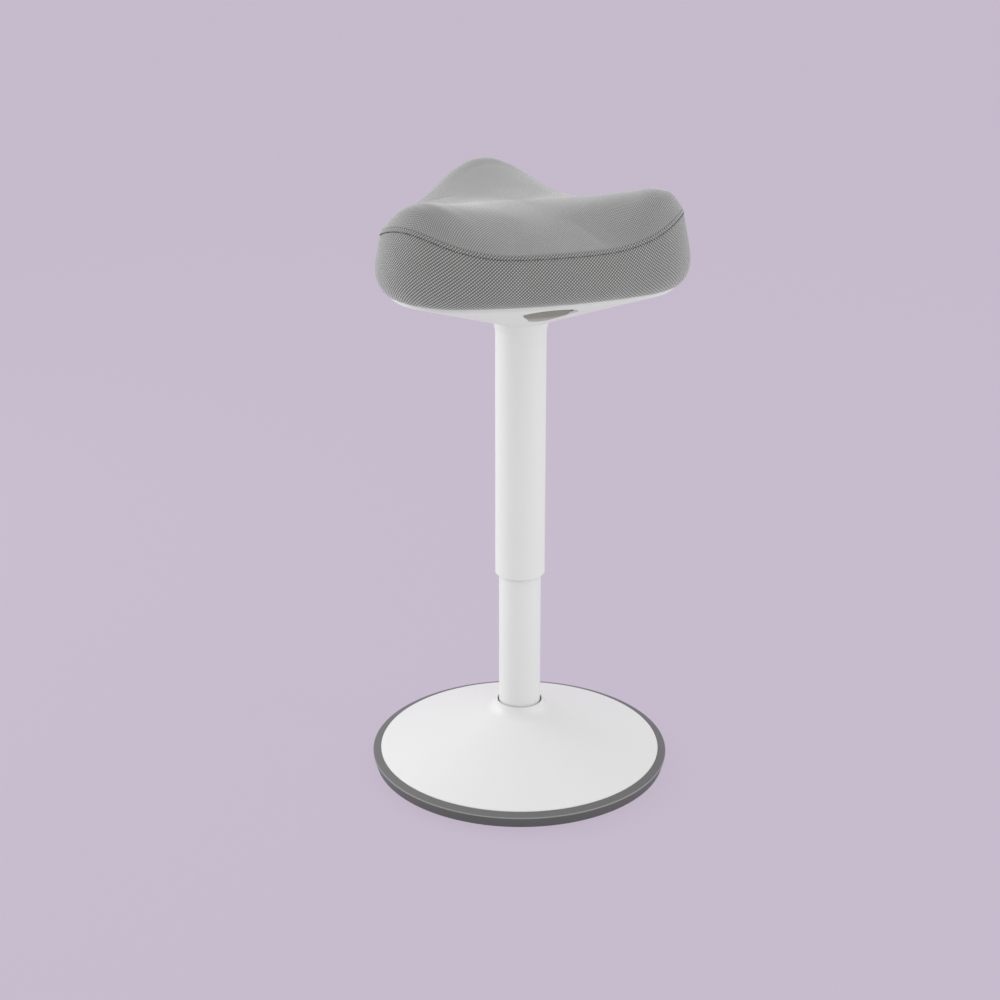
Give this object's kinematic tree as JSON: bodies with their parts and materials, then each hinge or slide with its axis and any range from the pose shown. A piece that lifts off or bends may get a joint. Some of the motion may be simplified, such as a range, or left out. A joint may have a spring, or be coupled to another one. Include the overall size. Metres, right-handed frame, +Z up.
{
  "type": "height-adjustable office stool",
  "caption": "Active office stool: padded three-cornered saddle seat with a release paddle under it, on a sleeved gas lift column and a round weighted base with a bumper ring.",
  "frame": {"origin": "centre of the sole's flat middle, on the floor, on the column's axis", "axes": "+Z up along the column; the release paddle faces -Y and one corner of the seat points to +Y"},
  "size_m": [0.36, 0.3715, 0.7241],
  "materials": {
    "grey_fabric": "fine woven upholstery",
    "seat_foam": "moulded foam",
    "plywood": "raw plywood",
    "white_plastic": "satin moulded",
    "grey_plastic": "fine textured",
    "bearing_plastic": "smooth",
    "white_metal": "satin powder coat",
    "black_steel": "black coated",
    "zinc_steel": "zinc plated",
    "polished_steel": "hard chromed",
    "light_alloy": "machined",
    "ring_rubber": "matte moulded",
    "sole_rubber": "matte grip",
    "black_rubber": "matte"
  },
  "bodies": {
    "base": {"sole": "sole_rubber", "rim_ring": "ring_rubber", "ballast_plate": "black_steel", "sole_screws": "zinc_steel", "base_cover": "white_metal", "hub_socket": "black_steel", "hub_bolts": "zinc_steel", "lower_tube": "white_metal", "guide_bush": "bearing_plastic", "lower_race": "zinc_steel"},
    "spindle": {"bearing_balls": "polished_steel", "ball_cage": "bearing_plastic", "upper_race": "zinc_steel", "piston_rod": "polished_steel", "rod_clip": "zinc_steel", "stop_buffer": "black_rubber", "piston": "light_alloy", "piston_seal": "black_rubber", "piston_nut": "zinc_steel"},
    "seat": {"gas_cylinder": "black_steel", "rod_guide": "bearing_plastic", "valve_body": "light_alloy", "column_sleeve": "white_metal", "taper_socket": "black_steel", "seat_bracket": "black_steel", "bracket_bolts": "zinc_steel", "tee_nuts": "zinc_steel", "seat_pan": "plywood", "seat_foam": "seat_foam", "cover_top": "grey_fabric", "cover_band": "grey_fabric", "seat_shell": "white_plastic", "shell_screws": "zinc_steel", "lever_pin": "zinc_steel", "pin_clips": "zinc_steel"},
    "lever": {"lever_arm": "zinc_steel", "release_paddle": "grey_plastic", "paddle_screws": "zinc_steel"},
    "valve": {"valve_pin": "polished_steel"}
  },
  "joints": [
    {"name": "seat_swivel", "type": "hinge", "parent": "base", "child": "spindle", "pos_m": [0, 0, 0], "axis": [0, 0, 1], "continuous": true},
    {"name": "height_slide", "type": "slide", "parent": "spindle", "child": "seat", "axis": [0, 0, 1], "range_m": [-0.134, 0.111]},
    {"name": "paddle_press", "type": "hinge", "parent": "seat", "child": "lever", "pos_m": [0, -0.045, 0.5961], "axis": [-1, 0, 0], "range_deg": [0, 3.6], "stiffness_Nm_per_rad": 20, "springref_deg": -5.73},
    {"name": "valve_press", "type": "slide", "parent": "seat", "child": "valve", "axis": [0, 0, -1], "range_m": [0, 0.0029]}
  ],
  "couplings": [
    {"joint": "valve_press", "follows": "paddle_press", "m_per_rad": 0.045}
  ]
}
